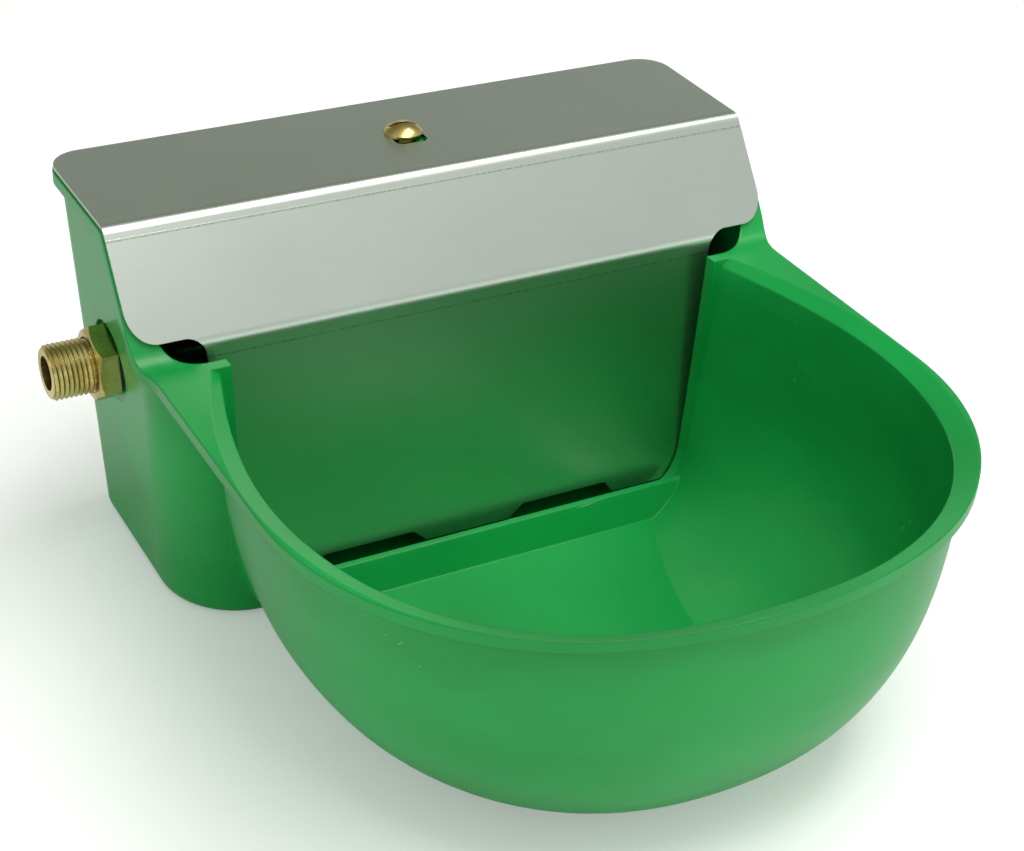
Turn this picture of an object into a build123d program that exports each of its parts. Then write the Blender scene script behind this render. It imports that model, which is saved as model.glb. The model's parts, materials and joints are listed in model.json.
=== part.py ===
from build123d import *
import os
from math import acos, atan2, cos, degrees, hypot, pi, radians, sin, sqrt, tan

# Livestock drinking bowl with a float valve, in millimetres.
# X runs along the wall, with the water inlet at -X. Z is up, and the flat underside is Z = 0.
# Everything is drawn with the wall plane at Y = 0 and the bowl reaching towards -Y. At the end it
# moves forward off the wall, so that the origin is the middle of the float box's underside.

# ---------------------------------------------------------------- overall sizes
overall_height = 152.0        # underside to the top of the cover
overall_depth = 303.0         # wall to the front of the rim
rim_half = 126.7              # half of the bowl's width over the rim lip
lid_gap = 0.3                 # air between the cover and what it lies on

# ---------------------------------------------------------------- cover sheet
sheet = 1.5                   # stainless steel sheet
cover_back = 1.0              # wall to the cover's back edge
slope_run = 27.5              # how far the middle face runs forward
bend_above_rim = 4.7          # rim's top to the lower bend's corner
hang_gap = 0.8                # plate's foot to the box's front wall
slope_drop = 36.3             # how far it drops
plate_lean = 5.3              # how far the hanging plate leans forward
plate_foot = 10.9             # underside to the plate's lower edge
plate_lap = 4.6               # how far the plate laps over each side of the opening
plate_taper = 8.4             # how much narrower each side is at the lower edge
upper_bend = 5.0              # outer bend radii
lower_bend = 7.0
back_corner = 12.0            # rounding of the top's back corners
wing_corner = 10.0            # rounding of the wings' lower corners
wing_lift = 1.8               # lower bend's corner up to the wings' lower edges
relief = 7.5                  # concave relief between wing and plate
plate_corner = 10.0           # rounding of the plate's lower corners
notch_inner = 18.0            # water notches: where they start and end, and their depth
notch_side = 29.8             # plate's side to the outer notches
notch_slant = 5.0
notch_depth = 5.2
slot_width = 13.0             # long hole for the cover screw
slot_front = 42.0             # wall to the hole's front end
slot_back = 26.0              # wall to its back end
slot_corner = 3.0

# ---------------------------------------------------------------- moulded body
wall = 4.0                    # moulded wall of the float box
bowl_wall = 3.5               # moulded wall of the bowl
box_depth = 102.6             # wall to the front face of the float box
box_inset = 9.7               # rim lip to the float box's side at its underside
box_draft = 4.1               # draft of its side walls, degrees
box_front_corner = 16.0       # upright corners: in front at the top, in front at the foot, behind
box_foot_corner = 32.0
box_back_corner = 14.0
box_foot_edge = 6.0           # rounding of the lower edges
flange_out = 3.9              # how much wider the flange under the cover is than the rim, each side
cover_inset = 0.6             # flange's edge to the cover's edge
flange_thick = 4.5            # lip height, all round
flare_front = box_depth + 3.4
flare_back = box_depth - 16.6
rim_corner = 104.0            # plan radii of the rim: corners and front
rim_front = 169.0
lip = 4.5                     # how far the lip stands proud of the bowl
lip_land = 1.0                # flat land along the lip's outer edge
sweep_radius = 10.0           # concave sweep from the slope to the level rim
rim_dish = 3.2                # how far the rim's inner edge lies below its outer edge
shoulder_dish = 3.5           # width of the dished band at the shoulders

bowl_middle = 176.8           # wall to the bowl's widest place
foot_cut = 1.3                # how much of the bowl's shape is cut off flat at its foot
bowl_fullness = 2.77          # superellipse exponent of the bowl's upright section
bowl_square_top = 2.35        # superellipse exponent of its plan, at the rim and at the foot
bowl_square_foot = 2.15
bowl_lean = 15.8              # how far the foot lies in front of the rim's middle
neck_inset = 19.7             # rim lip to the neck's side, at the rim
neck_draft = 5.6              # draft of the neck's sides, degrees
neck_corner = 25.0            # rounding of the neck's lower corners
neck_swell = 1.6              # how the sides swell from the neck to the widest place
jamb_front = box_depth + 0.8  # wall to where the bowl's hollow starts

door_inset = 8.0              # neck's side to the opening between float box and bowl, at the rim
door_draft = 2.9              # draft of its sides, degrees
door_corner = 22.0            # rounding of its lower corners

box_floor = 5.0               # underside to the float box's floor
box_floor_edge = 9.0          # rounding between that floor and the walls

weir_height = 15.5            # underside to the crest between float box and bowl
weir_front = box_depth + 5.4  # wall to the crest's front face
weir_crest = 3.5              # width of the crest
weir_back = box_depth - 5.1   # wall to the foot of its back slope

# ---------------------------------------------------------------- wall holes
wall_hole_radius = 4.5
wall_hole_spacing = 150.0
wall_hole_drop = 30.0         # top of the cover to the holes
wall_pad_radius = 11.0
wall_pad = 3.0

# ---------------------------------------------------------------- cover screw and its post
screw_y = -32.2
screw_radius = 4.0            # M8
screw_length = 24.0
screw_head_radius = 7.4
screw_head_rim = 1.2
screw_head_dome = 3.2
screw_slot = 1.8
screw_slot_depth = 2.2
post_radius = 8.0
post_drop = 38.0              # top of the cover to the post's lower end
insert_radius = 5.5
insert_length = 16.0
insert_collar = 0.8
thread_gap = 0.05             # a thread shown as a plain running fit

# ---------------------------------------------------------------- float valve
inlet_y = -44.0
inlet_drop = 65.0             # top of the cover to the inlet
spot_depth = 1.2              # box side to the flat spot face for the outer gasket
spot_margin = 3.0             # how much wider it is than the outer gasket
pad_through = 6.0             # spot face to the flat pad for the inner gasket
pad_margin = 3.0              # how much wider it is than the valve's flange
pipe_radius = 10.4775         # G1/2
wall_bore_gap = 0.4225        # pipe to the hole in the box's wall
gasket_outer = 1.7
gasket_inner = 2.0
gasket_width = 2.1225         # pipe to the outer gasket's edge
nut_thick = 8.0
nut_wall = 2.5225             # pipe to the nut's flats
nut_turn = 24.0
tail_length = 25.5            # seat to the end of the inlet tail
tail_chamfer = 1.2
thread_depth = 1.1575         # crest to root of its thread
thread_valley = 0.9           # width of the valley that shows beside the nut
pipe_bore = 6.5
valve_flange = 5.0
valve_flange_lap = 4.5225     # pipe to the flange's edge
barrel_radius = 12.5
barrel_bore = 8.0
barrel_length = 44.0          # from the flange's seat
nozzle_seat = 14.0            # flange's seat to where the nozzle seats
nozzle_length = 8.0
nozzle_lip = 1.5
nozzle_hole = 2.0
port_from = 22.0              # flange's seat to the side ports
port_length = 8.0
port_width = 10.0
running = 0.05                # radial running clearance of pins
plunger_gap = 0.08            # radial clearance of the plunger

# ---------------------------------------------------------------- plunger and lever
pivot_out = 52.0              # flange's seat to the lever's pivot
pivot_drop = 14.0             # valve axis to the pivot
pin_radius = 2.5
ear_gap = 0.5                 # lever boss to ear
ear_inner = 8.3               # valve axis to the ears' inner faces
ear_thick = 4.5
ear_radius = 7.0              # rounding round the pivot
pin_head_radius = 4.0
pin_head = 1.5
pin_tail = 5.0                # how far the pin stands out of the second ear
split_hole = 1.3
split_wire = 0.55
seat_gap = 0.2                # what is left between disc and nozzle when closed
disc_thick = 2.5
disc_radius = 5.0
disc_proud = 0.5
nose_radius = 3.2
nose_stem = 2.6
nose_thick = 5.0
nose_slot = 7.0               # cross slot in the plunger
nose_slot_width = 6.2
boss_radius = 5.4
lever_swing = 24.0            # degrees from open to closed
lever_angle = -35.0           # the arm's direction at rest, open
lever_length = 40.0
lever_bar = 8.0
lever_width = 8.0
eye_radius = 7.0
eye_thick = 6.0
eye_gap = 0.3
level_screw_radius = 2.5
rod_angle = -12.0             # the float rod's direction at rest
rod_radius = 3.0
holder_start = 10.0           # eye to the holder's barrel
holder_length = 14.0
holder_radius = 6.0
rod_nut_thick = 4.0
rod_nut_flats = 10.0

# ---------------------------------------------------------------- float
float_start = 30.0            # eye to the float's end
float_end_room = 30.8         # float's end to the box's side, when the valve is open
float_width = 62.0
float_height = 38.0
float_wall = 1.8
float_corner = 12.0
float_edge = 5.0
float_split = 9.0             # rod axis to the joint between shell and lid
bush_radius = 6.0
bush_length = 14.0
bush_collar = 8.0


# ================================================================ sizes that follow
rim_height = overall_height - slope_drop - bend_above_rim
top_depth = box_depth - wall - hang_gap - plate_lean - slope_run - cover_back
bowl_depth_full = rim_height - lid_gap + foot_cut
box_half_foot = rim_half - box_inset
flange_half = rim_half + flange_out
cover_half = flange_half - cover_inset
neck_half_top = rim_half - neck_inset
door_half_top = neck_half_top - door_inset
plate_half_top = door_half_top + plate_lap
plate_half_foot = plate_half_top - plate_taper
notch_outer = plate_half_foot - notch_side
wall_hole_height = overall_height - wall_hole_drop
post_foot = overall_height - post_drop
wall_bore_radius = pipe_radius + wall_bore_gap
gasket_radius = pipe_radius + gasket_width
spot_radius = gasket_radius + spot_margin
valve_flange_radius = pipe_radius + valve_flange_lap
pad_radius = valve_flange_radius + pad_margin
thread_root = pipe_radius - thread_depth
nut_flats = 2 * (pipe_radius + nut_wall)
inlet_z = overall_height - inlet_drop


# ================================================================ shared geometry
def offset_corners(corners, distance):
    """Corners of a polyline moved sideways by distance, to the left of its direction."""
    moved = []
    for index in range(len(corners)):
        normals = []
        for start, end in ((index - 1, index), (index, index + 1)):
            if start >= 0 and end < len(corners):
                run = corners[end][0] - corners[start][0]
                rise = corners[end][1] - corners[start][1]
                length = hypot(run, rise)
                normals.append((-rise / length, run / length))
        across = sum(n[0] for n in normals)
        along = sum(n[1] for n in normals)
        size = hypot(across, along)
        reach = distance / (size / len(normals))
        moved.append((corners[index][0] + reach * across / size, corners[index][1] + reach * along / size))
    return moved


def box_half(z):
    """Half of the float box's outer width at height z."""
    return box_half_foot + z * tan(radians(box_draft))


def box_corner(z):
    """Radius of the float box's front corners at height z."""
    return box_foot_corner + (box_front_corner - box_foot_corner) * z / overall_height


def bowl_scale(z):
    """How far the bowl's section has shrunk at height z, and the fraction of its depth."""
    fraction = min(max((rim_height - lid_gap - z) / bowl_depth_full, 0.0), 0.999)
    return (1 - fraction ** bowl_fullness) ** (1 / bowl_fullness), fraction


def neck_half(z):
    """Half of the outer width where the bowl meets the box, at height z."""
    half = neck_half_top - (rim_height - z) * tan(radians(neck_draft))
    below = max(neck_corner - z, 0.0)
    return half - neck_corner + sqrt(neck_corner ** 2 - below ** 2)


def mouth_points(half, half_neck, middle, front, square, back):
    """Right half of a closed bowl section, from the neck round to the front, as (x, y)."""
    points = [(half_neck, -back)] if back < jamb_front else []
    for step in range(3):
        share = 1 - step / 3
        y = middle + (-jamb_front - middle) * share
        points.append((half - (half - half_neck) * share ** neck_swell, y))
    for step in range(7):
        angle = radians(90 * step / 6)
        x = half * cos(angle) ** (2 / square)
        y = middle - (middle - front) * sin(angle) ** (2 / square)
        points.append((x, y))
    return points


def mouth_face(points):
    """Closed face from the right half of a section."""
    left = [(-x, y) for x, y in reversed(points[:-1])]
    with BuildSketch() as section:
        with BuildLine():
            Spline(*points, *left)
            Line(left[-1], points[0])
        make_face()
    return section.sketch


def bowl_section(z, inset):
    """Section points of the bowl at height z, inset from its outer surface."""
    scale, fraction = bowl_scale(z)
    middle = -bowl_middle - bowl_lean * fraction ** 2
    half = (rim_half - lip) * scale - inset
    front = middle - (overall_depth - lip - bowl_middle) * scale + inset
    square = bowl_square_top + (bowl_square_foot - bowl_square_top) * fraction
    back = jamb_front if inset else box_depth - wall / 2
    return mouth_points(half, neck_half(z) - inset, middle, front, square, back)


def rim_band(depth):
    """Rim top line lowered by depth, as corners from the wall to the front."""
    line = offset_corners(cover_profile[:3], sheet + lid_gap + depth)
    level = rim_height - depth
    turn = line[1][0] - slope_run / slope_drop * (line[1][1] - level)
    return [(wall, line[0][1]), line[1], (turn, level), (-overall_depth - wall, level)]


def below_rim(depth):
    """Everything below the lowered rim line, as a face in the YZ plane."""
    corners = rim_band(depth)
    with BuildSketch() as below:
        with BuildLine():
            FilletPolyline(*corners, radius=[upper_bend - sheet, sweep_radius + depth])
            Polyline(corners[-1], (corners[-1][0], -wall), (wall, -wall), corners[0])
        make_face()
    return below.sketch


# The cover's outer profile in the YZ plane: back edge, upper bend, lower bend, lower edge.
cover_profile = [
    (-cover_back, overall_height),
    (-cover_back - top_depth, overall_height),
    (-cover_back - top_depth - slope_run, overall_height - slope_drop),
    (-cover_back - top_depth - slope_run - plate_lean, plate_foot),
]

seat_height = overall_height - sheet - lid_gap
seat_x = spot_depth - box_half(inlet_z)
pad_x = seat_x + pad_through
flange_x = pad_x + gasket_inner
barrel_end = flange_x + barrel_length
bore_end = flange_x + nozzle_seat
port_start = flange_x + port_from
pivot_x = flange_x + pivot_out
plunger_travel = 2 * pivot_drop * sin(radians(lever_swing / 2))

# Where things are, seen from the front
valve_plane = Plane(origin=(0, inlet_y, inlet_z), x_dir=(1, 0, 0), z_dir=(0, -1, 0))
pivot_z = inlet_z - pivot_drop
pivot_plane = Plane(origin=(pivot_x, inlet_y, pivot_z), x_dir=(1, 0, 0), z_dir=(0, -1, 0))
eye_x = pivot_x + lever_length * cos(radians(lever_angle))
eye_z = pivot_z + lever_length * sin(radians(lever_angle))
float_room = box_half_foot - wall - float_end_room - eye_x
float_length = float_room / cos(radians(rod_angle)) - float_start
eye_plane = Plane(origin=(eye_x, inlet_y, eye_z), x_dir=(1, 0, 0), z_dir=(0, -1, 0))
rod_along = (cos(radians(rod_angle)), 0, sin(radians(rod_angle)))
rod_up = (-sin(radians(rod_angle)), 0, cos(radians(rod_angle)))
rod_plane = Plane(origin=(eye_x, inlet_y, eye_z), x_dir=rod_along, z_dir=rod_up)


# ================================================================ body shell
with BuildPart() as box_outer:
    for z in (0, seat_height):
        with BuildSketch(Plane.XY.offset(z)) as box_section:
            with Locations((0, -box_depth / 2)):
                Rectangle(2 * box_half(z), box_depth)
            fillet(box_section.vertices().group_by(Axis.Y)[0], box_corner(z))
            fillet(box_section.vertices().group_by(Axis.Y)[-1], box_back_corner)
    loft(ruled=True)
    fillet(box_outer.faces().sort_by(Axis.Z)[0].edges(), box_foot_edge)

with BuildPart() as box_inner:
    for z in (box_floor, overall_height + wall):
        with BuildSketch(Plane.XY.offset(z)) as box_section:
            with Locations((0, -box_depth / 2)):
                Rectangle(2 * box_half(z) - 2 * wall, box_depth - 2 * wall)
            fillet(box_section.vertices().group_by(Axis.Y)[0], box_corner(z) - wall)
            fillet(box_section.vertices().group_by(Axis.Y)[-1], box_back_corner - wall)
    loft(ruled=True)
    fillet(box_inner.faces().sort_by(Axis.Z)[0].edges(), box_floor_edge)

levels = 8
with BuildPart() as bowl_outer:
    for step in range(levels):
        z = rim_height * (1 - sin(radians(90 * step / (levels - 1))))
        with BuildSketch(Plane.XY.offset(z)):
            add(mouth_face(bowl_section(z, 0)))
    loft()

dish_edge = rim_height - rim_dish
with BuildPart() as bowl_inner:
    for step in range(levels):
        z = bowl_wall + (dish_edge - bowl_wall) * (1 - sin(radians(90 * step / (levels - 1))))
        with BuildSketch(Plane.XY.offset(z)):
            add(mouth_face(bowl_section(z, bowl_wall)))
    loft()

inner_edge = bowl_section(dish_edge, bowl_wall)
outer_edge = mouth_points(
    rim_half - lip_land,
    inner_edge[0][0] + shoulder_dish,
    -bowl_middle,
    -overall_depth + lip_land,
    bowl_square_top,
    jamb_front,
)
with BuildPart() as rim_funnel:
    for share in (0, 1.4):
        ring = [(a[0] + share * (b[0] - a[0]), a[1] + share * (b[1] - a[1])) for a, b in zip(inner_edge, outer_edge)]
        with BuildSketch(Plane.XY.offset(dish_edge + share * rim_dish)):
            add(mouth_face(ring))
    loft(ruled=True)

# Plan of the rim: straight sides, two corner arcs and a flatter front arc, wider under the cover.
arc_x = rim_half - rim_corner
arc_run = sqrt((rim_front - rim_corner) ** 2 - arc_x ** 2)
arc_y = rim_front - overall_depth - arc_run
arc_turn = degrees(atan2(arc_run, arc_x))
with BuildPart() as rim_strip:
    with BuildSketch(Plane.XY.offset(rim_height - 2 * flange_thick)) as rim_plan:
        with BuildLine() as rim_outline:
            Line((0, 0), (flange_half, 0))
            Line((flange_half, 0), (flange_half, -flare_back))
            Spline(
                (flange_half, -flare_back),
                (rim_half, -flare_front),
                tangents=[(0, -1), (0, -1)],
            )
            Line((rim_half, -flare_front), (rim_half, arc_y))
            corner_arc = JernArc((rim_half, arc_y), (0, -1), rim_corner, -arc_turn)
            JernArc(corner_arc @ 1, corner_arc % 1, rim_front, arc_turn - 90)
            mirror(about=Plane.YZ)
        make_face()
        fillet(rim_plan.vertices().group_by(Axis.Y)[-1].sort_by(Axis.X)[0], box_back_corner)
        fillet(rim_plan.vertices().group_by(Axis.Y)[-1].sort_by(Axis.X)[-1], box_back_corner)
    extrude(amount=overall_height - rim_height + 2 * flange_thick)
    with BuildSketch(Plane.YZ):
        add(below_rim(0))
        add(below_rim(flange_thick), mode=Mode.SUBTRACT)
    extrude(amount=2 * flange_half, both=True, mode=Mode.INTERSECT)

with BuildPart() as hull:
    add(box_outer.part)
    add(bowl_outer.part)

with BuildPart() as weir_ridge:
    with BuildSketch(Plane.YZ):
        with BuildLine():
            Polyline(
                (-weir_back, box_floor / 2),
                (-weir_front - box_floor, box_floor / 2),
                (-weir_front, weir_height - 2),
                (-weir_front + 1, weir_height),
                (-weir_front + weir_crest, weir_height),
            )
            Spline(
                (-weir_front + weir_crest, weir_height),
                (-weir_back - 3, box_floor + 2.2),
                (-weir_back + 3, box_floor),
                tangents=[(1, -0.6), (1, 0)],
            )
            Polyline((-weir_back + 3, box_floor), (-weir_back + 3, box_floor / 2), (-weir_back, box_floor / 2))
        make_face()
    extrude(amount=neck_half_top, both=True)
    add(hull.part, mode=Mode.INTERSECT)

with BuildPart() as body_shell:
    add(hull.part)
    with BuildSketch(Plane.YZ):
        add(below_rim(0))
    extrude(amount=2 * flange_half, both=True, mode=Mode.INTERSECT)
    add(rim_strip.part)
    add(box_inner.part, mode=Mode.SUBTRACT)
    add(bowl_inner.part, mode=Mode.SUBTRACT)
    add(rim_funnel.part, mode=Mode.SUBTRACT)
    # Opening between the float box and the bowl.
    door_half_foot = door_half_top - (rim_height - weir_height) * tan(radians(door_draft))
    with BuildSketch(Plane.XZ.offset(box_depth - 2 * wall)) as door:
        with BuildLine():
            FilletPolyline(
                (0, box_floor),
                (door_half_foot, box_floor),
                (door_half_top, rim_height),
                (door_half_top, overall_height),
                radius=[door_corner, 1],
            )
            Polyline((door_half_top, overall_height), (0, overall_height))
            mirror(about=Plane.YZ)
        make_face()
    extrude(amount=jamb_front - box_depth + 2 * wall, mode=Mode.SUBTRACT)
    add(weir_ridge.part)
    # Post for the cover screw, with a web to the back wall.
    with BuildSketch(Plane.XY.offset(seat_height)):
        with Locations((0, screw_y)):
            Circle(post_radius)
    extrude(amount=post_foot - seat_height)
    with BuildSketch(Plane.YZ):
        Polygon(
            (-wall / 2, seat_height),
            (screw_y, seat_height),
            (screw_y, post_foot + 4),
            (-wall / 2, post_foot - 10),
            align=None,
        )
    extrude(amount=wall / 2 + 1, both=True)
    with BuildSketch(Plane.XY.offset(seat_height)):
        with Locations((0, screw_y)):
            Circle(insert_radius)
    extrude(amount=-insert_length, mode=Mode.SUBTRACT)
    with BuildSketch(Plane.XY.offset(seat_height)):
        with Locations((0, screw_y)):
            Circle(screw_radius + 0.6)
    extrude(amount=-screw_length, mode=Mode.SUBTRACT)
    # Pads round the two wall holes.
    with BuildSketch(Plane.XZ.offset(wall)):
        with Locations(*[(side * wall_hole_spacing / 2, wall_hole_height) for side in (-1, 1)]):
            Circle(wall_pad_radius)
    extrude(amount=wall_pad, taper=8)
    with BuildSketch(Plane.XZ.offset(-1)):
        with Locations(*[(side * wall_hole_spacing / 2, wall_hole_height) for side in (-1, 1)]):
            Circle(wall_hole_radius)
    extrude(amount=wall + wall_pad + 2, mode=Mode.SUBTRACT)
    # Pad, spot face and hole for the float valve.
    with BuildSketch(Plane.YZ.offset(pad_x)):
        with Locations((inlet_y, inlet_z)):
            Circle(pad_radius)
    extrude(amount=seat_x - pad_x + 0.5)
    with BuildSketch(Plane.YZ.offset(seat_x)):
        with Locations((inlet_y, inlet_z)):
            Circle(spot_radius)
    extrude(amount=-2 * wall, mode=Mode.SUBTRACT)
    with BuildSketch(Plane.YZ.offset(pad_x + wall)):
        with Locations((inlet_y, inlet_z)):
            Circle(wall_bore_radius)
    extrude(amount=-6 * wall, mode=Mode.SUBTRACT)


# ================================================================ cover
with BuildPart() as cover:
    with BuildSketch(Plane.YZ):
        with BuildLine():
            inner_profile = offset_corners(cover_profile, sheet)
            outer_line = FilletPolyline(*cover_profile, radius=[upper_bend, lower_bend])
            inner_line = FilletPolyline(*inner_profile, radius=[upper_bend - sheet, lower_bend - sheet])
            Line(outer_line @ 0, inner_line @ 0)
            Line(outer_line @ 1, inner_line @ 1)
        make_face()
    extrude(amount=cover_half, both=True)
    # Back corners of the top.
    fillet(cover.edges().filter_by(Axis.Z).group_by(Axis.Y)[-1], back_corner)
    # Outline of the hanging plate, seen from the front: wings, reliefs, tapered sides and notches.
    wing_foot = cover_profile[2][1] + wing_lift
    plate_top = wing_foot - relief
    notch_in_top = notch_inner + notch_slant + 1
    notch_out_top = notch_outer - notch_slant + 1
    with BuildSketch(Plane.XZ) as plate_cut:
        with BuildLine():
            Line((cover_half + 5, wing_foot - 3 * wall), (cover_half + 5, wing_foot + wing_corner))
            Line((cover_half + 5, wing_foot + wing_corner), (cover_half, wing_foot + wing_corner))
            RadiusArc(
                (cover_half, wing_foot + wing_corner),
                (cover_half - wing_corner, wing_foot),
                wing_corner,
            )
            Line((cover_half - wing_corner, wing_foot), (plate_half_top + relief, wing_foot))
            RadiusArc(
                (plate_half_top + relief, wing_foot),
                (plate_half_top, plate_top),
                -relief,
            )
            FilletPolyline(
                (plate_half_top, plate_top),
                (plate_half_foot, plate_foot),
                (notch_outer, plate_foot),
                (notch_out_top, plate_foot + notch_depth),
                (notch_in_top, plate_foot + notch_depth),
                (notch_inner, plate_foot),
                (0, plate_foot),
                radius=[plate_corner, 1, 1.5, 1.5, 1],
            )
            Polyline(
                (0, plate_foot),
                (0, -wall),
                (cover_half + 5, -wall),
                (cover_half + 5, wing_foot - 3 * wall),
            )
        make_face()
        mirror(about=Plane.YZ)
    extrude(amount=2 * box_depth, mode=Mode.SUBTRACT)
    # Long hole for the screw.
    with BuildSketch(Plane.XY.offset(overall_height)):
        with Locations((0, -(slot_front + slot_back) / 2)):
            RectangleRounded(slot_width, slot_front - slot_back, slot_corner)
    extrude(amount=-2 * sheet, mode=Mode.SUBTRACT)


# ================================================================ cover screw and insert
screw_plane = Plane(origin=(0, screw_y, overall_height), x_dir=(1, 0, 0), z_dir=(0, -1, 0))
dome_radius = (screw_head_radius ** 2 + screw_head_dome ** 2) / (2 * screw_head_dome)
dome_half = atan2(screw_head_radius, dome_radius - screw_head_dome) / 2
with BuildPart() as cover_screw:
    with BuildSketch(screw_plane):
        with BuildLine():
            Polyline(
                (0, screw_head_rim + screw_head_dome),
                (0, -screw_length),
                (screw_radius - 1, -screw_length),
                (screw_radius, 1 - screw_length),
                (screw_radius, 0),
                (screw_head_radius, 0),
                (screw_head_radius, screw_head_rim),
            )
            ThreePointArc(
                (screw_head_radius, screw_head_rim),
                (dome_radius * sin(dome_half), screw_head_rim + screw_head_dome + dome_radius * (cos(dome_half) - 1)),
                (0, screw_head_rim + screw_head_dome),
            )
        make_face()
    revolve(axis=Axis((0, screw_y, 0), (0, 0, 1)))
    with BuildSketch(Plane.XY.offset(overall_height + screw_head_rim + screw_head_dome)):
        with Locations((0, screw_y)):
            Rectangle(3 * screw_head_radius, screw_slot, rotation=-11)
    extrude(amount=-screw_slot_depth, mode=Mode.SUBTRACT)

with BuildPart() as screw_insert:
    with BuildSketch(Plane.XY.offset(seat_height)):
        with Locations((0, screw_y)):
            Circle(insert_radius)
            Circle(screw_radius + thread_gap, mode=Mode.SUBTRACT)
    extrude(amount=-insert_length)
    # Waist between the two knurled bands.
    with BuildSketch(Plane.XY.offset(seat_height - insert_length * 0.4)):
        with Locations((0, screw_y)):
            Circle(insert_radius)
            Circle(insert_radius - insert_collar, mode=Mode.SUBTRACT)
    extrude(amount=-insert_length * 0.2, mode=Mode.SUBTRACT)


# ================================================================ float valve
def ring(plane, outer, inner, thick):
    """Flat ring on a plane, from its face along its normal."""
    with BuildPart() as washer:
        with BuildSketch(plane):
            Circle(outer)
            Circle(inner, mode=Mode.SUBTRACT)
        extrude(amount=thick)
    return washer.part


def across(x):
    """Plane square to the valve's axis at x, facing +X."""
    return Plane(origin=(x, inlet_y, inlet_z), x_dir=(0, 1, 0), z_dir=(1, 0, 0))


with BuildPart() as inner_gasket:
    add(ring(across(pad_x), valve_flange_radius, pipe_radius + running, gasket_inner))

with BuildPart() as outer_gasket:
    add(ring(across(seat_x - gasket_outer), gasket_radius, pipe_radius + 0.2, gasket_outer))

nut_x = seat_x - gasket_outer - nut_thick
with BuildPart() as back_nut:
    with BuildSketch(across(nut_x)):
        RegularPolygon(nut_flats / 2, 6, major_radius=False, rotation=nut_turn)
        Circle(pipe_radius + thread_gap, mode=Mode.SUBTRACT)
    extrude(amount=nut_thick)
    # Chamfered corners on the outer face.
    with BuildSketch(valve_plane):
        with BuildLine():
            corner = nut_flats / 2 / cos(radians(30))
            chamfer_run = (corner - nut_flats / 2 + 0.6) * tan(radians(30))
            Polyline(
                (nut_x, 0),
                (nut_x, nut_flats / 2 - 0.6),
                (nut_x + chamfer_run, corner),
                (nut_x + nut_thick, corner),
                (nut_x + nut_thick, 0),
                close=True,
            )
        make_face()
    revolve(axis=Axis((0, inlet_y, inlet_z), (1, 0, 0)), mode=Mode.INTERSECT)

with BuildPart() as valve_body:
    with BuildSketch(valve_plane):
        with BuildLine():
            Polyline(
                (seat_x - tail_length, 0),
                (seat_x - tail_length, pipe_radius - tail_chamfer),
                (seat_x - tail_length + tail_chamfer, pipe_radius),
                (nut_x - thread_valley, pipe_radius),
                (nut_x - thread_valley, thread_root),
                (nut_x + running, thread_root),
                (nut_x + running, pipe_radius),
                (flange_x, pipe_radius),
                (flange_x, valve_flange_radius),
                (flange_x + valve_flange, valve_flange_radius),
                (flange_x + valve_flange, barrel_radius),
                (barrel_end, barrel_radius),
                (barrel_end, 0),
                close=True,
            )
        make_face()
    revolve(axis=Axis((0, inlet_y, inlet_z), (1, 0, 0)))
    # Two ears for the lever.
    for side in (-1, 1):
        ear_start = ear_inner if side > 0 else -ear_inner - ear_thick
        with BuildSketch(pivot_plane.offset(ear_start)):
            with BuildLine():
                Polyline(
                    (barrel_end - pivot_x - 8, pivot_drop + barrel_radius / 2),
                    (barrel_end - pivot_x - 8, pivot_drop - barrel_radius / 2),
                    (-ear_radius * sin(radians(40)), -ear_radius * cos(radians(40))),
                )
                ThreePointArc(
                    (-ear_radius * sin(radians(40)), -ear_radius * cos(radians(40))),
                    (ear_radius * sin(radians(25)), -ear_radius * cos(radians(25))),
                    (ear_radius, 0),
                )
                Polyline(
                    (ear_radius, 0),
                    (ear_radius - 2, pivot_drop + barrel_radius / 2),
                    (barrel_end - pivot_x - 8, pivot_drop + barrel_radius / 2),
                )
            make_face()
        extrude(amount=ear_thick)
    # Waterway, plunger bore, outlet ports and pivot hole.
    with BuildSketch(across(seat_x - tail_length)):
        Circle(pipe_bore)
    extrude(amount=tail_length + bore_end - seat_x, mode=Mode.SUBTRACT)
    with BuildSketch(across(bore_end)):
        Circle(barrel_bore)
    extrude(amount=4 * barrel_bore + 2 * nut_thick, mode=Mode.SUBTRACT)
    with BuildSketch(valve_plane):
        with Locations((port_start + port_length / 2, 0)):
            RectangleRounded(port_length, port_width, 2)
    extrude(amount=2 * barrel_radius, both=True, mode=Mode.SUBTRACT)
    with BuildSketch(pivot_plane):
        Circle(pin_radius + running)
    extrude(amount=2 * barrel_radius, both=True, mode=Mode.SUBTRACT)

with BuildPart() as valve_nozzle:
    with BuildSketch(valve_plane):
        with BuildLine():
            Polyline(
                (bore_end, nozzle_hole),
                (bore_end, barrel_bore),
                (bore_end + nozzle_length, barrel_bore),
                (bore_end + nozzle_length, nozzle_hole + 2),
                (bore_end + nozzle_length + nozzle_lip, nozzle_hole + 0.8),
                (bore_end + nozzle_length + nozzle_lip, nozzle_hole),
                close=True,
            )
        make_face()
    revolve(axis=Axis((0, inlet_y, inlet_z), (1, 0, 0)))

disc_x = bore_end + nozzle_length + nozzle_lip + seat_gap + plunger_travel
nose_x = pivot_x + pivot_drop * sin(radians(lever_swing / 2))
plunger_end = nose_x + nose_slot / 2 + 3
with BuildPart() as seat_disc:
    with BuildSketch(across(disc_x)):
        Circle(disc_radius)
    extrude(amount=disc_thick)

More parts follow.
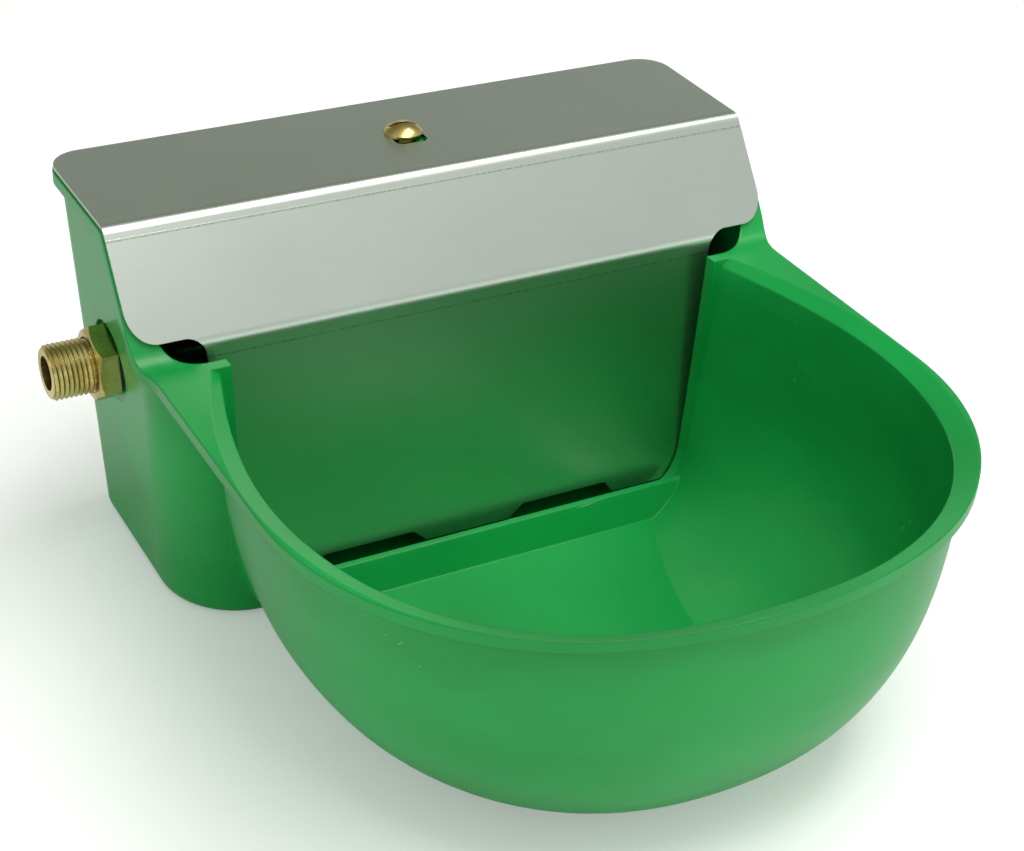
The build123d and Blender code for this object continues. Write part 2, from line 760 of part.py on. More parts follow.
with BuildPart() as plunger:
    with BuildSketch(across(disc_x + disc_proud)):
        Circle(barrel_bore - plunger_gap)
    extrude(amount=plunger_end - disc_x - disc_proud)
    chamfer(plunger.edges().filter_by(GeomType.CIRCLE), 0.6)
    with BuildSketch(across(disc_x)):
        Circle(disc_radius)
    extrude(amount=disc_thick, mode=Mode.SUBTRACT)
    # Flutes that let the water past, and the cross slot for the lever's nose.
    with BuildSketch(across(disc_x)):
        with PolarLocations(barrel_bore, 4, start_angle=0):
            Circle(1.6)
    extrude(amount=nose_x - disc_x - 2 * nose_slot / 3 - 2, mode=Mode.SUBTRACT)
    with BuildSketch(Plane.XY.offset(inlet_z - 2 * barrel_bore)):
        with Locations((nose_x, inlet_y)):
            Rectangle(nose_slot, nose_slot_width)
    extrude(amount=2 * barrel_bore + nose_radius + 0.6, mode=Mode.SUBTRACT)


# ================================================================ lever and pin
boss_half = ear_inner - ear_gap
with BuildPart() as lever_arm:
    with BuildSketch(pivot_plane):
        Circle(boss_radius)
    extrude(amount=boss_half, both=True)
    # Nose that moves the plunger.
    with BuildSketch(pivot_plane):
        with Locations(Rot(0, 0, -lever_swing / 2)):
            with Locations((0, pivot_drop / 2)):
                Rectangle(nose_stem, pivot_drop)
            with Locations((0, pivot_drop)):
                Circle(nose_radius)
    extrude(amount=nose_thick / 2, both=True)
    # Bar down to the eye; the far half is full, the near half stops short of the holder's eye.
    with BuildSketch(pivot_plane):
        with Locations(Rot(0, 0, lever_angle)):
            with Locations(((lever_length - eye_radius - 1) / 2, 0)):
                Rectangle(lever_length - eye_radius - 1, lever_bar)
    extrude(amount=lever_width / 2, both=True)
    with BuildSketch(pivot_plane.offset(-eye_gap / 2)):
        with Locations(Rot(0, 0, lever_angle)):
            with Locations((lever_length - eye_radius / 2, 0)):
                Rectangle(eye_radius + 4, lever_bar)
            with Locations((lever_length, 0)):
                Circle(eye_radius)
    extrude(amount=-eye_thick)
    with BuildSketch(pivot_plane):
        Circle(pin_radius + running)
        with Locations(Rot(0, 0, lever_angle)):
            with Locations((lever_length, 0)):
                Circle(level_screw_radius + thread_gap)
    extrude(amount=2 * eye_thick, both=True, mode=Mode.SUBTRACT)

ear_outer = ear_inner + ear_thick
with BuildPart() as pivot_pin:
    with BuildSketch(pivot_plane.offset(-ear_outer)):
        Circle(pin_head_radius)
    extrude(amount=-pin_head)
    with BuildSketch(pivot_plane.offset(-ear_outer)):
        Circle(pin_radius)
    extrude(amount=2 * ear_outer + pin_tail)
    chamfer(pivot_pin.faces().sort_by(Axis.Y)[0].edges(), 0.5)
    with BuildSketch(Plane.XY.offset(pivot_z)):
        with Locations((pivot_x, inlet_y - ear_outer - pin_tail / 2)):
            Circle(split_hole)
    extrude(amount=2 * pin_radius, both=True, mode=Mode.SUBTRACT)

with BuildPart() as split_pin:
    split_plane = pivot_plane.offset(ear_outer + pin_tail / 2)
    with BuildLine(split_plane) as wire_path:
        FilletPolyline(
            (-2.6, -7.5),
            (-0.62, -4.2),
            (-0.62, 3.4),
            (-2.0, 5.2),
            (-1.6, 7.6),
            (1.6, 7.6),
            (2.0, 5.2),
            (0.62, 3.4),
            (0.62, -4.2),
            (2.6, -7.5),
            radius=0.9,
        )
    with BuildSketch(Plane(origin=wire_path.line @ 0, z_dir=wire_path.line % 0)):
        Circle(split_wire)
    sweep()


# ================================================================ rod holder and level screw
with BuildPart() as rod_holder:
    with BuildSketch(eye_plane.offset(eye_gap / 2)):
        Circle(eye_radius)
        with Locations(Rot(0, 0, rod_angle)):
            with Locations((holder_start / 2 + 1, 0)):
                Rectangle(holder_start + 2, 2 * eye_radius - 4)
    extrude(amount=eye_thick)
    with BuildSketch(Plane(origin=eye_plane.origin, x_dir=(0, 1, 0), z_dir=rod_along).offset(holder_start)):
        Circle(holder_radius)
    extrude(amount=holder_length)
    with BuildSketch(Plane(origin=eye_plane.origin, x_dir=(0, 1, 0), z_dir=rod_along).offset(holder_start - 2)):
        Circle(rod_radius)
    extrude(amount=2 * holder_length, mode=Mode.SUBTRACT)
    with BuildSketch(eye_plane):
        Circle(level_screw_radius + thread_gap)
    extrude(amount=2 * eye_thick, mode=Mode.SUBTRACT)

grip = eye_gap / 2 + eye_thick
with BuildPart() as level_screw:
    with BuildSketch(eye_plane.offset(-grip)):
        Circle(level_screw_radius + 2)
    extrude(amount=-3)
    fillet(level_screw.faces().sort_by(Axis.Y)[-1].edges(), 1.2)
    with BuildSketch(eye_plane.offset(-grip)):
        Circle(level_screw_radius)
    extrude(amount=2 * grip + 10)
    chamfer(level_screw.faces().sort_by(Axis.Y)[0].edges(), 0.5)

with BuildPart() as wing_nut:
    with BuildSketch(eye_plane.offset(grip)):
        Circle(level_screw_radius + 2.2)
    extrude(amount=6, taper=8)
    for side in (-1, 1):
        with BuildSketch(Plane(origin=eye_plane.origin, x_dir=(0, -1, 0), z_dir=(-1, 0, 0))):
            with BuildLine():
                Polyline(
                    (grip + 1, side * 3),
                    (grip + 5, side * 3),
                    (grip + 11, side * 8),
                )
                RadiusArc((grip + 11, side * 8), (grip + 6, side * 11.5), -side * 3.2)
                Line((grip + 6, side * 11.5), (grip + 1, side * 3))
            make_face()
        extrude(amount=1.0, both=True)
    with BuildSketch(eye_plane):
        Circle(level_screw_radius + thread_gap)
    extrude(amount=4 * eye_thick, mode=Mode.SUBTRACT)


# ================================================================ float
def along_rod(distance):
    """Plane square to the float rod, at a distance from the eye."""
    return Plane(origin=eye_plane.origin, x_dir=(0, 1, 0), z_dir=rod_along).offset(distance)


with BuildPart() as float_rod:
    with BuildSketch(along_rod(holder_start - 1.5)):
        Circle(rod_radius)
    extrude(amount=float_start + bush_length - 4 - holder_start + 1.5)
    chamfer(float_rod.edges().filter_by(GeomType.CIRCLE), 0.5)

with BuildPart() as rod_nut:
    with BuildSketch(along_rod(holder_start + holder_length)):
        RegularPolygon(rod_nut_flats / 2, 6, major_radius=False)
        Circle(rod_radius + thread_gap, mode=Mode.SUBTRACT)
    extrude(amount=rod_nut_thick)

with BuildPart() as float_bush:
    with BuildSketch(along_rod(float_start)):
        Circle(bush_collar)
    extrude(amount=-2)
    with BuildSketch(along_rod(float_start)):
        Circle(bush_radius)
    extrude(amount=bush_length)
    with BuildSketch(along_rod(float_start - 2)):
        Circle(rod_radius + thread_gap)
    extrude(amount=bush_length - 1, mode=Mode.SUBTRACT)


def float_block(inset, low, high):
    """Rounded block of the float between two heights over the rod's axis."""
    with BuildPart() as block:
        with BuildSketch(rod_plane.offset(inset - float_height / 2)):
            with Locations((float_start + float_length / 2, 0)):
                RectangleRounded(float_length - 2 * inset, float_width - 2 * inset, float_corner - inset)
        extrude(amount=float_height - 2 * inset)
        ends = block.faces().sort_by(Axis((0, 0, 0), rod_up))
        fillet(ends[0].edges() + ends[-1].edges(), float_edge - inset)
        with BuildSketch(rod_plane.offset(low)):
            with Locations((float_start + float_length / 2, 0)):
                Rectangle(2 * float_length, 2 * float_width)
        extrude(amount=high - low, mode=Mode.INTERSECT)
    return block.part


with BuildPart() as float_shell:
    add(float_block(0, -float_height, float_split))
    add(float_block(float_wall, -float_height, float_height), mode=Mode.SUBTRACT)
    with BuildSketch(along_rod(float_start - 1)):
        Circle(bush_radius)
    extrude(amount=float_wall + 2, mode=Mode.SUBTRACT)

with BuildPart() as float_lid:
    add(float_block(0, float_split, float_height))
    add(float_block(float_wall, -float_height, float_height), mode=Mode.SUBTRACT)


# ================================================================ named pieces
pieces = {
    "body_shell": body_shell.part,
    "cover": cover.part,
    "cover_screw": cover_screw.part,
    "screw_insert": screw_insert.part,
    "valve_body": valve_body.part,
    "back_nut": back_nut.part,
    "outer_gasket": outer_gasket.part,
    "inner_gasket": inner_gasket.part,
    "valve_nozzle": valve_nozzle.part,
    "plunger": plunger.part,
    "seat_disc": seat_disc.part,
    "lever_arm": lever_arm.part,
    "pivot_pin": pivot_pin.part,
    "split_pin": split_pin.part,
    "rod_holder": rod_holder.part,
    "level_screw": level_screw.part,
    "wing_nut": wing_nut.part,
    "float_rod": float_rod.part,
    "rod_nut": rod_nut.part,
    "float_bush": float_bush.part,
    "float_shell": float_shell.part,
    "float_lid": float_lid.part,
}
os.makedirs("parts", exist_ok=True)
for name, piece in pieces.items():
    placed = piece.moved(Location((0, box_depth / 2, 0)))
    placed.label = name
    export_step(placed, f"parts/{name}.step")
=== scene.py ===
# %% [markdown]
# # Livestock drinking bowl
# This file dresses the CAD model of a drinking bowl for livestock. The CAD gives every piece its real
# shape and place. Here the pieces get their finish, and the small turned and cut details that a CAD
# solid keeps plain, such as threads, are modelled at their real size.

import json
import math

import bpy
from mathutils import Matrix, Vector


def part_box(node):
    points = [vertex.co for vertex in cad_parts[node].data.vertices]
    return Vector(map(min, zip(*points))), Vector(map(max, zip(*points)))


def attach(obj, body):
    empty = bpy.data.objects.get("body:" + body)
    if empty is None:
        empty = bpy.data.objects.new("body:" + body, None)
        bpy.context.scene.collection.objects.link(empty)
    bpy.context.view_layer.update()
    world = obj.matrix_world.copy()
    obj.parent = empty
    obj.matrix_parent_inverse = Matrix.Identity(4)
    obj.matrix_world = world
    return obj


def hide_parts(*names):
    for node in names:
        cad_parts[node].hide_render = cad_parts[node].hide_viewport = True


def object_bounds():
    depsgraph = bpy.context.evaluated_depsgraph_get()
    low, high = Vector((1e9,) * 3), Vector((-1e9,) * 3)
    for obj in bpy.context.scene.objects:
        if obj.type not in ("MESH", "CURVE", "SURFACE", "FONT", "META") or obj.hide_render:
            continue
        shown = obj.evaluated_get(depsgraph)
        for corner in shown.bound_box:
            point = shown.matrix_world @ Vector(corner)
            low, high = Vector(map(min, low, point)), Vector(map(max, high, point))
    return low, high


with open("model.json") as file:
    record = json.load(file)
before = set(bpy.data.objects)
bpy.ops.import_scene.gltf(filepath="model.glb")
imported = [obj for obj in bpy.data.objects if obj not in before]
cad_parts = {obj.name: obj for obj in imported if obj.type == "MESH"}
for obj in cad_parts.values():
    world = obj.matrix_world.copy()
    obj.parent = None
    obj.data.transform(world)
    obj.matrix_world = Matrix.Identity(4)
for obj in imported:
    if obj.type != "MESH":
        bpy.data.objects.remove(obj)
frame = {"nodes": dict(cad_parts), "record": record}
cad_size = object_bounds()
pieces = frame["nodes"]
print(len(pieces), "CAD pieces, box", [[round(v, 4) for v in corner] for corner in cad_size])

# %% [markdown]
# ## Camera
# The camera looks down from the front left, from about as high above the bowl as a person would stand.
# A camera could be turned by three angles. Three rows, the picture's right, down and forward
# directions in the object's own frame, say the same and are easier to check against the object.

# %% Camera
camera_rows = Matrix((
    (0.88105622, -0.47068219, 0.04688513),
    (-0.21315631, -0.48356652, -0.84895690),
    (0.42226097, 0.73798489, -0.52637817),
))
camera_place = Vector((-0.32750, -0.64860, 0.48361))
sensor_width_mm = 36.0
lens_mm = 74.626
camera_data = bpy.data.cameras.new("camera")
camera_data.sensor_width = sensor_width_mm
camera_data.lens = lens_mm
camera_data.clip_start = 0.01
camera = bpy.data.objects.new("camera", camera_data)
bpy.context.scene.collection.objects.link(camera)
turn = Matrix((camera_rows[0], -camera_rows[1], -camera_rows[2])).transposed()
camera.matrix_world = Matrix.Translation(camera_place) @ turn.to_4x4()
bpy.context.scene.camera = camera
print("camera", round(camera_place.length, 3), "m from the origin")

# %% [markdown]
# ## Shader sums as plain Python
# A finish is a small graph of nodes. Drawing it by hand is quick, but reading it back is not. The
# Value class below wraps one output socket, so that `0.3 + 0.1 * grain` adds the Math nodes by
# itself. Every other node comes from one method, Finish.node, which sets the node first and then
# fills its sockets with numbers or with other nodes' values.


# %% Value and Finish
class Value:
    """One output socket of a node tree; sums on it become Math nodes."""

    def __init__(self, finish, socket):
        self.finish, self.socket = finish, socket

    def math(self, operation, *values):
        return self.finish.node("ShaderNodeMath", {"operation": operation}, dict(enumerate(values)))

    def __add__(self, other):
        return self.math("ADD", self, other)

    def __radd__(self, other):
        return self.math("ADD", other, self)

    def __sub__(self, other):
        return self.math("SUBTRACT", self, other)

    def __rsub__(self, other):
        return self.math("SUBTRACT", other, self)

    def __mul__(self, other):
        return self.math("MULTIPLY", self, other)

    def __rmul__(self, other):
        return self.math("MULTIPLY", other, self)

    def size(self):
        return self.math("ABSOLUTE", self)


class Finish:
    """A node tree with a few helpers that every finish here shares."""

    def __init__(self, tree):
        self.tree = tree
        tree.nodes.clear()

    def node(self, kind, settings=None, inputs=None, output=0):
        made = self.tree.nodes.new(kind)
        for name, value in (settings or {}).items():
            setattr(made, name, value)
        for name, value in (inputs or {}).items():
            if isinstance(value, Value):
                self.tree.links.new(value.socket, made.inputs[name])
            else:
                made.inputs[name].default_value = value
        return Value(self, made.outputs[output]) if len(made.outputs) else None

    def place(self, scale=(1, 1, 1), turn=(0, 0, 0), shift=(0, 0, 0)):
        """The piece's own coordinates in metres, stretched, turned or moved."""
        own = self.node("ShaderNodeTexCoord", output="Object")
        inputs = {"Vector": own, "Scale": scale, "Rotation": turn, "Location": shift}
        return self.node("ShaderNodeMapping", None, inputs)

    def noise(self, scale, detail=3.0, where=None, rough=0.5):
        inputs = {
            "Vector": where or self.place(),
            "Scale": scale,
            "Detail": detail,
            "Roughness": rough,
        }
        return self.node("ShaderNodeTexNoise", None, inputs)

    def step(self, value, start, end):
        """0 below start, 1 above end, smooth between."""
        settings = {"interpolation_type": "SMOOTHSTEP"}
        inputs = {"Value": value, "From Min": start, "From Max": end}
        return self.node("ShaderNodeMapRange", settings, inputs)

    def mix(self, factor, a, b):
        """Colour a where factor is 0, colour b where it is 1."""
        settings = {"data_type": "RGBA", "clamp_factor": True}
        return self.node("ShaderNodeMix", settings, {0: factor, 6: a, 7: b}, output=2)

    def bump(self, height, distance, strength=1.0, below=None):
        inputs = {"Height": height, "Distance": distance, "Strength": strength}
        if below:
            inputs["Normal"] = below
        return self.node("ShaderNodeBump", None, inputs)

    def axis(self, name, where=None):
        """One of the piece's own coordinates, X, Y or Z, in metres."""
        return self.node("ShaderNodeSeparateXYZ", None, {0: where or self.place()}, output=name)


def colour(red, green, blue):
    """A colour from screen values of 0 to 255, by the sRGB curve and its straight foot."""
    shares = [c / 255 for c in (red, green, blue)]
    linear = [((c + 0.055) / 1.055) ** 2.4 if c > 0.0393 else c / 12.92 for c in shares]
    return (*linear, 1.0)


def new_finish(name):
    material = bpy.data.materials.new(name)
    material.use_nodes = True
    return material, Finish(material.node_tree)


def surface(material, finish, inputs):
    """Close a finish with the Principled shader."""
    shader = finish.node("ShaderNodeBsdfPrincipled", None, inputs)
    finish.node("ShaderNodeOutputMaterial", None, {"Surface": shader})
    print(material.name, "has", len(finish.tree.nodes), "nodes")
    return material


# %% [markdown]
# ## Green moulded plastic
# The bowl and its float box are one moulding in a bright green plastic. It isn't a flat colour: the
# tone drifts a little where the melt flowed, the skin has a very fine orange-peel texture, and
# handling leaves short pale scratches and nicks. Mould edges are never sharp, so the Bevel node
# rounds the normal by about a millimetre, which is cheaper than rounding the CAD solid's every edge.

# %% Green plastic
plastic, f = new_finish("moulded_green_plastic")
flow = f.noise(9.0, 3.0, f.place((1, 1, 2.2)))
peel = f.noise(1400.0, 2.0)
ripple = f.noise(60.0, 2.0)
scratch_lines = f.noise(60.0, 1.0, f.place((0.6, 9.0, 9.0), (0.1, 0.25, 0.4)))
scratch_zone = f.step(f.noise(26.0, 2.0), 0.60, 0.68)
scratches = f.step(scratch_lines, 0.735, 0.76) * scratch_zone
nick_zone = f.step(f.noise(34.0), 0.60, 0.65)
nicks = f.step(f.noise(240.0, 1.0, f.place((1.0, 1.0, 5.0))), 0.82, 0.85) * nick_zone
wear = f.node("ShaderNodeMath", {"operation": "MAXIMUM"}, {0: scratches, 1: nicks})
green = f.mix(f.step(flow, 0.3, 0.7), colour(4, 146, 62), colour(12, 164, 74))
green = f.mix(wear * 0.40, green, colour(176, 224, 190))
mould_edge = 0.0011
soft_edge = f.node("ShaderNodeBevel", {"samples": 6}, {"Radius": mould_edge})
skin = f.bump(ripple, 0.00016, 0.5, soft_edge)
skin = f.bump(peel, 0.00002, 0.6, skin)
surface(plastic, f, {
    "Base Color": green,
    "Roughness": 0.28 + 0.08 * flow + 0.2 * wear,
    "Normal": skin,
    "IOR": 1.46,
})

# %% [markdown]
# ## Brushed stainless sheet
# The cover is cut from brushed stainless sheet and folded on a press brake. The brushing is a set of
# very long, very thin grooves along the sheet, so a noise that is stretched along X gives both the
# streaky gloss and the bump. The press brake's tools leave a faint pressed line on each side of a
# bend, which is drawn here at its height above the foot. Fingers and shearing leave soft blotches.

# %% Stainless sheet
steel, f = new_finish("brushed_stainless_sheet")
streaks = f.noise(1.0, 4.0, f.place((26.0, 2600.0, 2600.0)), 0.6)
long_streaks = f.noise(1.0, 2.0, f.place((5.0, 620.0, 620.0)))
blotch = f.noise(16.0, 3.0)
height = f.axis("Z")
cover_low, cover_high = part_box("cover")
sheet_top = cover_high[2]
middle_face_drop = 0.0363
lower_mark_drop, lower_mark_width = 0.0062, 0.00055
upper_mark_drop, upper_mark_width = 0.0041, 0.00045
bend_height = sheet_top - middle_face_drop
dots = f.step(f.noise(1.0, 1.0, f.place((900.0, 60.0, 60.0))), 0.42, 0.62)
from_lower = (height - (bend_height - lower_mark_drop)).size()
from_upper = (height - (sheet_top - upper_mark_drop)).size()
lower_mark = 1.0 - f.step(from_lower, 0.0001, lower_mark_width)
upper_mark = 1.0 - f.step(from_upper, 0.0001, upper_mark_width)
marks = (lower_mark + upper_mark) * (0.35 + 0.65 * dots)
tone = f.mix(blotch, colour(202, 209, 201), colour(212, 219, 211))
tone = f.mix(long_streaks * 0.4, tone, colour(192, 200, 191))
tone = f.mix(marks * 0.55, tone, colour(120, 124, 116))
soft_edge = f.node("ShaderNodeBevel", {"samples": 4}, {"Radius": 0.0003})
grooves = f.bump(streaks, 0.0000022, 1.0, soft_edge)
grooves = f.bump(marks, 0.00006, 0.6, grooves)
surface(steel, f, {
    "Base Color": tone,
    "Metallic": 1.0,
    "Roughness": 0.25 + 0.05 * streaks + 0.03 * long_streaks + 0.03 * blotch,
    "Normal": grooves,
})

# %% [markdown]
# ## Turned brass
# The valve, its nut and the lever's small parts are bare brass. Turning leaves fine rings round the
# work's axis, and bare brass darkens unevenly, most of all in the corners that hands don't reach.

# %% Brass
brass, f = new_finish("bare_turned_brass")
rings = f.noise(1.0, 3.0, f.place((2400.0, 30.0, 30.0)))
tarnish = f.step(f.noise(70.0, 4.0, None, 0.6), 0.35, 0.72)
brass_tone = f.mix(tarnish, colour(214, 196, 128), colour(176, 150, 84))
brass_tone = f.mix(f.step(f.noise(420.0, 2.0), 0.62, 0.75) * 0.4, brass_tone, colour(120, 98, 52))
soft_edge = f.node("ShaderNodeBevel", {"samples": 4}, {"Radius": 0.00025})
surface(brass, f, {
    "Base Color": brass_tone,
    "Metallic": 1.0,
    "Roughness": 0.20 + 0.12 * tarnish + 0.06 * rings,
    "Normal": f.bump(rings, 0.00001, 0.7, soft_edge),
})

# %% [markdown]
# ## Rubber, white plastic, wire and the float
# These pieces are inside, and show when the cover is lifted. Each still has its own finish: moulded
# rubber is dull with a dusty bloom, acetal is smooth and slightly waxy, drawn wire has lengthwise
# lines, and the float is a glossy orange blow moulding.

# %% Inner finishes
rubber, f = new_finish("moulded_black_rubber")
bloom = f.noise(120.0, 4.0)
surface(rubber, f, {
    "Base Color": f.mix(bloom, colour(22, 22, 23), colour(52, 52, 52)),
    "Roughness": 0.62 + 0.2 * bloom,
    "Normal": f.bump(f.noise(2200.0, 2.0), 0.00002, 0.7),
})

acetal, f = new_finish("white_acetal")
waxy = f.noise(60.0, 3.0)
surface(acetal, f, {
    "Base Color": f.mix(waxy, colour(222, 221, 214), colour(236, 235, 229)),
    "Roughness": 0.34 + 0.12 * waxy,
    "Normal": f.bump(f.noise(1500.0, 2.0), 0.00001, 0.5),
})

wire, f = new_finish("drawn_stainless_wire")
drawn = f.noise(1.0, 3.0, f.place((900.0, 900.0, 120.0)))
surface(wire, f, {
    "Base Color": f.mix(drawn, colour(176, 178, 176), colour(208, 209, 206)),
    "Metallic": 1.0,
    "Roughness": 0.24 + 0.12 * drawn,
    "Normal": f.bump(drawn, 0.000006, 0.8),
})

float_skin, f = new_finish("orange_float_plastic")
cloud = f.noise(22.0, 3.0)
soft_edge = f.node("ShaderNodeBevel", {"samples": 4}, {"Radius": 0.0006})
surface(float_skin, f, {
    "Base Color": f.mix(cloud, colour(214, 92, 26), colour(232, 112, 38)),
    "Roughness": 0.30 + 0.1 * cloud,
    "Normal": f.bump(f.noise(900.0, 2.0), 0.00002, 0.6, soft_edge),
})

# %% [markdown]
# ## Finishes onto the pieces
# The record says which finish each piece has. Giving each CAD object its material by that name keeps
# this file and the record in step.

# %% Dress the pieces
finishes = {
    "green_plastic": plastic,
    "stainless_sheet": steel,
    "brass": brass,
    "black_rubber": rubber,
    "white_plastic": acetal,
    "stainless_wire": wire,
    "float_plastic": float_skin,
}
slots = {part["node"]: part["material_slot"] for part in frame["record"]["subparts"]}
for name, piece in pieces.items():
    piece.data.materials.clear()
    piece.data.materials.append(finishes[slots[name]])
print({slot: sum(1 for used in slots.values() if used == slot) for slot in finishes})

# %% [markdown]
# ## Cut threads
# The CAD draws each thread as a plain rod at its crest size. A real one is cut by a die, so the same
# is done here: a V-shaped cutter follows a helix round the rod and is taken away from it. The cutter
# starts as one flat four-sided ring in edit mode, the Screw modifier winds it, its two ends are
# capped, and a Boolean modifier cuts the groove into a copy of the rod, which then stands for the
# CAD piece. Winding only the ridge onto a thinner rod would also work, but it leaves a seam.


# %% Thread cutting
def only(piece):
    """Make a piece the one that is selected and active."""
    bpy.ops.object.select_all(action="DESELECT")
    piece.select_set(True)
    bpy.context.view_layer.objects.active = piece


def wound_cutter(name, crest, root, pitch, length, steps):
    """A helical V cutter round the Z axis, from Z = 0 up to length."""
    bpy.ops.object.select_all(action="DESELECT")
    bpy.ops.mesh.primitive_circle_add(vertices=4, radius=pitch / 2, fill_type="NOTHING")
    cutter = bpy.context.object
    cutter.name = name
    # The ring's four corners become the V's section: narrow at the root, wide past the crest.
    over = 0.35 * pitch
    wide = 0.44 * pitch + over * (0.34 * pitch) / (crest - root)
    narrow = 0.07 * pitch
    outside = crest + over
    section = [(root, -narrow), (root, narrow), (outside, wide), (outside, -wide)]
    for corner, (radius, along) in zip(cutter.data.vertices, section):
        corner.co = (radius, 0, along)
    bpy.ops.object.modifier_add(type="SCREW")
    winding = cutter.modifiers[-1]
    winding.axis, winding.angle, winding.screw_offset = "Z", 2 * math.pi, pitch
    winding.steps = winding.render_steps = steps
    winding.iterations = math.ceil(length / pitch)
    winding.use_merge_vertices = False
    bpy.ops.object.modifier_apply(modifier=winding.name)
    bpy.ops.object.mode_set(mode="EDIT")
    bpy.ops.mesh.select_all(action="SELECT")
    bpy.ops.mesh.remove_doubles(threshold=1e-7)
    bpy.ops.mesh.select_mode(type="EDGE")
    bpy.ops.mesh.select_all(action="DESELECT")
    bpy.ops.mesh.select_non_manifold()
    bpy.ops.mesh.fill_holes(sides=0)
    bpy.ops.mesh.select_all(action="SELECT")
    bpy.ops.mesh.normals_make_consistent(inside=False)
    bpy.ops.object.mode_set(mode="OBJECT")
    return cutter


def copy_of(node, name):
    """A merged copy of a CAD piece, as one closed mesh of its own."""
    copy = pieces[node].copy()
    copy.data = pieces[node].data.copy()
    copy.name = copy.data.name = name
    copy.parent = None
    copy.matrix_world = Matrix.Identity(4)
    bpy.context.scene.collection.objects.link(copy)
    only(copy)
    bpy.ops.object.mode_set(mode="EDIT")
    bpy.ops.mesh.select_all(action="SELECT")
    bpy.ops.mesh.remove_doubles(threshold=1e-6)
    bpy.ops.object.mode_set(mode="OBJECT")
    return copy


def cut_thread(node, name, start, direction, crest, root, pitch, length, steps=48):
    """Cut a thread into a copy of a CAD piece, from start along direction."""
    blank = copy_of(node, name)
    cutter = wound_cutter(name + "_cutter", crest, root, pitch, length, steps)
    aim = Vector(direction).to_track_quat("Z", "Y").to_matrix().to_4x4()
    cutter.data.transform(Matrix.Translation(start) @ aim)
    only(blank)
    bpy.ops.object.modifier_add(type="BOOLEAN")
    cut = blank.modifiers[-1]
    cut.operation, cut.solver, cut.object = "DIFFERENCE", "EXACT", cutter
    bpy.ops.object.modifier_apply(modifier=cut.name)
    bpy.ops.object.shade_smooth_by_angle(angle=math.radians(35))
    bpy.data.objects.remove(cutter, do_unlink=True)
    print(name, "has", len(blank.data.polygons), "faces after threading")
    return blank


# %% [markdown]
# ## Inlet thread
# The inlet takes a half-inch water pipe: 14 threads to the inch, 20.96 mm over the crests. Its
# thread runs from the chamfered end to the nut.

# %% Inlet thread
valve_low, valve_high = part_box("valve_body")
nut_low, nut_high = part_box("back_nut")
inlet_y = (nut_low[1] + nut_high[1]) / 2
inlet_z = (nut_low[2] + nut_high[2]) / 2
inch = 0.0254
threads_to_the_inch = 14
crest_radius = 0.0104775
root_radius = 0.0093155
pitch = inch / threads_to_the_inch
tail = nut_low[0] - valve_low[0]
run_in = 1.2 * pitch
turned_valve = cut_thread(
    "valve_body",
    "threaded_valve_body",
    start=(valve_low[0] - run_in, inlet_y, inlet_z),
    direction=(1, 0, 0),
    crest=crest_radius,
    root=root_radius,
    pitch=pitch,
    length=tail + 1.3 * pitch,
)
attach(turned_valve, "bowl")
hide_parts("valve_body")

# %% [markdown]
# ## Floor
# The object stands on a plain white sheet. A floor that only reflects the lamps would look grey, so
# what the camera sees of it gets a little light of its own, which is not passed on to the object. A
# brighter lamp would whiten it too, but it would also wash out the plastic and the steel.

# %% Floor
floor_z = cad_size[0][2]
bpy.ops.object.select_all(action="DESELECT")
bpy.ops.mesh.primitive_plane_add(size=8.0, location=(0, 0, floor_z))
floor = bpy.context.object
floor.name = "floor"
floor_paint, f = new_finish("floor_paint")
paper = f.noise(300.0, 2.0)
paper_tone = f.mix(paper, (0.90, 0.90, 0.90, 1), (0.93, 0.93, 0.93, 1))
pale = f.node("ShaderNodeBsdfDiffuse", None, {"Color": paper_tone})
lift = f.node("ShaderNodeEmission", None, {"Color": (1, 1, 1, 1), "Strength": 0.26})
ray = f.node("ShaderNodeLightPath", output="Is Camera Ray")
through = f.node("ShaderNodeLightPath", output="Is Transmission Ray")
seen = ray + through
lit = f.node("ShaderNodeAddShader", None, {0: pale, 1: lift})
floor_shader = f.node("ShaderNodeMixShader", None, {0: seen, 1: pale, 2: lit})
f.node("ShaderNodeOutputMaterial", None, {"Surface": floor_shader})
floor.data.materials.append(floor_paint)
print("floor at", round(floor_z, 5), "m")

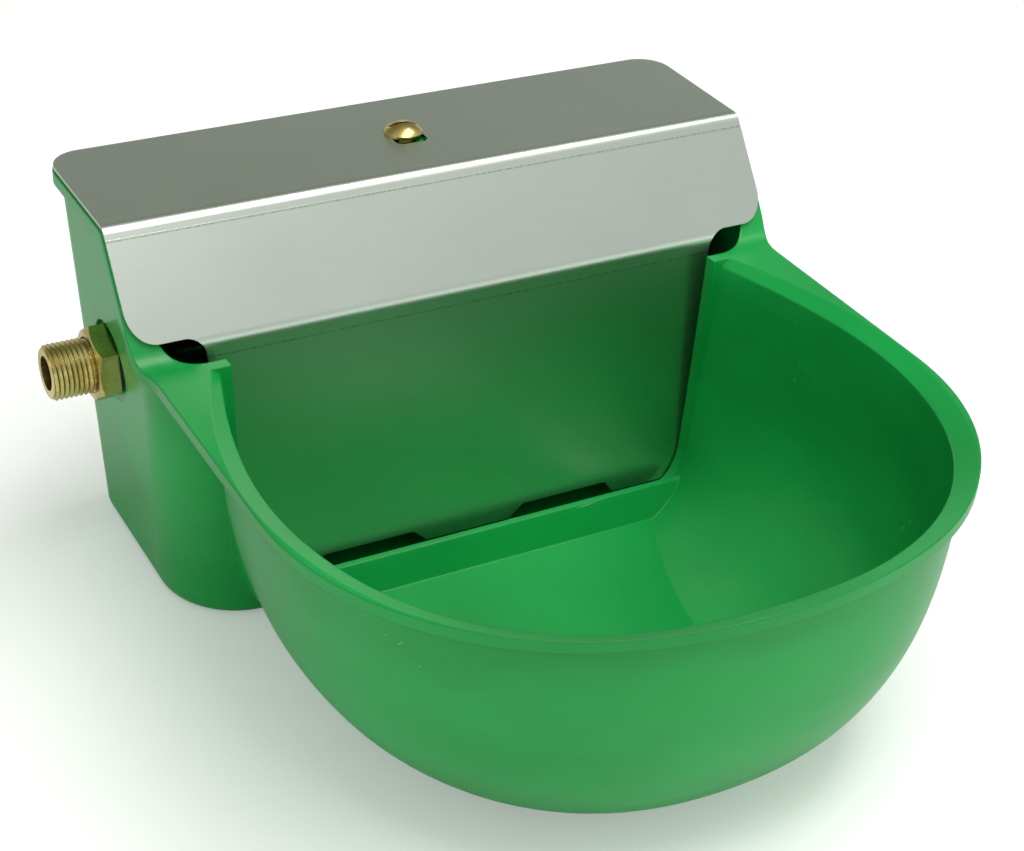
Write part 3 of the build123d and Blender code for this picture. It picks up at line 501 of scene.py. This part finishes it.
# %% [markdown]
# ## Light
# A product is photographed in a white tent: soft light from all round, with one large soft box above
# and a darker ceiling behind. The metal shows that room, so the world is a plain gradient: white at
# the horizon and in front, darker high up behind the object.

# %% World
world = bpy.data.worlds.new("world")
bpy.context.scene.world = world
world.use_nodes = True
f = Finish(world.node_tree)
sky = f.node("ShaderNodeTexCoord", output="Generated")
up = f.axis("Z", sky)
back = f.axis("Y", sky)
ceiling = f.step(up, 0.12, 0.50) * f.step(back, -0.15, 0.55)
front_band = (1.0 - f.step(up.size(), 0.10, 0.34)) * f.step(back * -1.0, 0.2, 0.7)
room = f.mix(ceiling, (0.86, 0.90, 0.87, 1), (0.30, 0.33, 0.27, 1))
room = f.mix(front_band, room, (1.72, 1.90, 1.74, 1))
world_ray = f.node("ShaderNodeLightPath", output="Is Camera Ray")
backdrop = f.mix(world_ray, room, (1, 1, 1, 1))
sky_light = f.node("ShaderNodeBackground", None, {"Color": backdrop, "Strength": 0.72 + 0.28 * world_ray})
f.node("ShaderNodeOutputWorld", None, {"Surface": sky_light})
print("world has", len(f.tree.nodes), "nodes")

# %% [markdown]
# ## Lamp
# One wide soft box hangs above, a little in front and to the right. Its size sets how soft the
# shadow's edge is. A sun lamp would light as evenly, but its shadow would have a hard edge.


# %% Lamp
def soft_lamp(name, place, aim, size, watts, tint):
    data = bpy.data.lights.new(name, "AREA")
    data.shape = "RECTANGLE"
    data.size, data.size_y = size
    data.energy = watts
    data.color = tint
    lamp = bpy.data.objects.new(name, data)
    bpy.context.scene.collection.objects.link(lamp)
    lamp.location = place
    lamp.rotation_euler = (Vector(aim) - Vector(place)).to_track_quat("-Z", "Y").to_euler()
    return lamp


key = soft_lamp(
    "key_lamp",
    place=(0.25, -0.35, 1.5),
    aim=(0, -0.05, 0.05),
    size=(1.5, 0.6),
    watts=14,
    tint=(1.0, 0.985, 0.95),
)
print(key.name, "gives", key.data.energy, "W")
bpy.context.scene.view_settings.view_transform = "Standard"
print("view", bpy.context.scene.view_settings.view_transform)
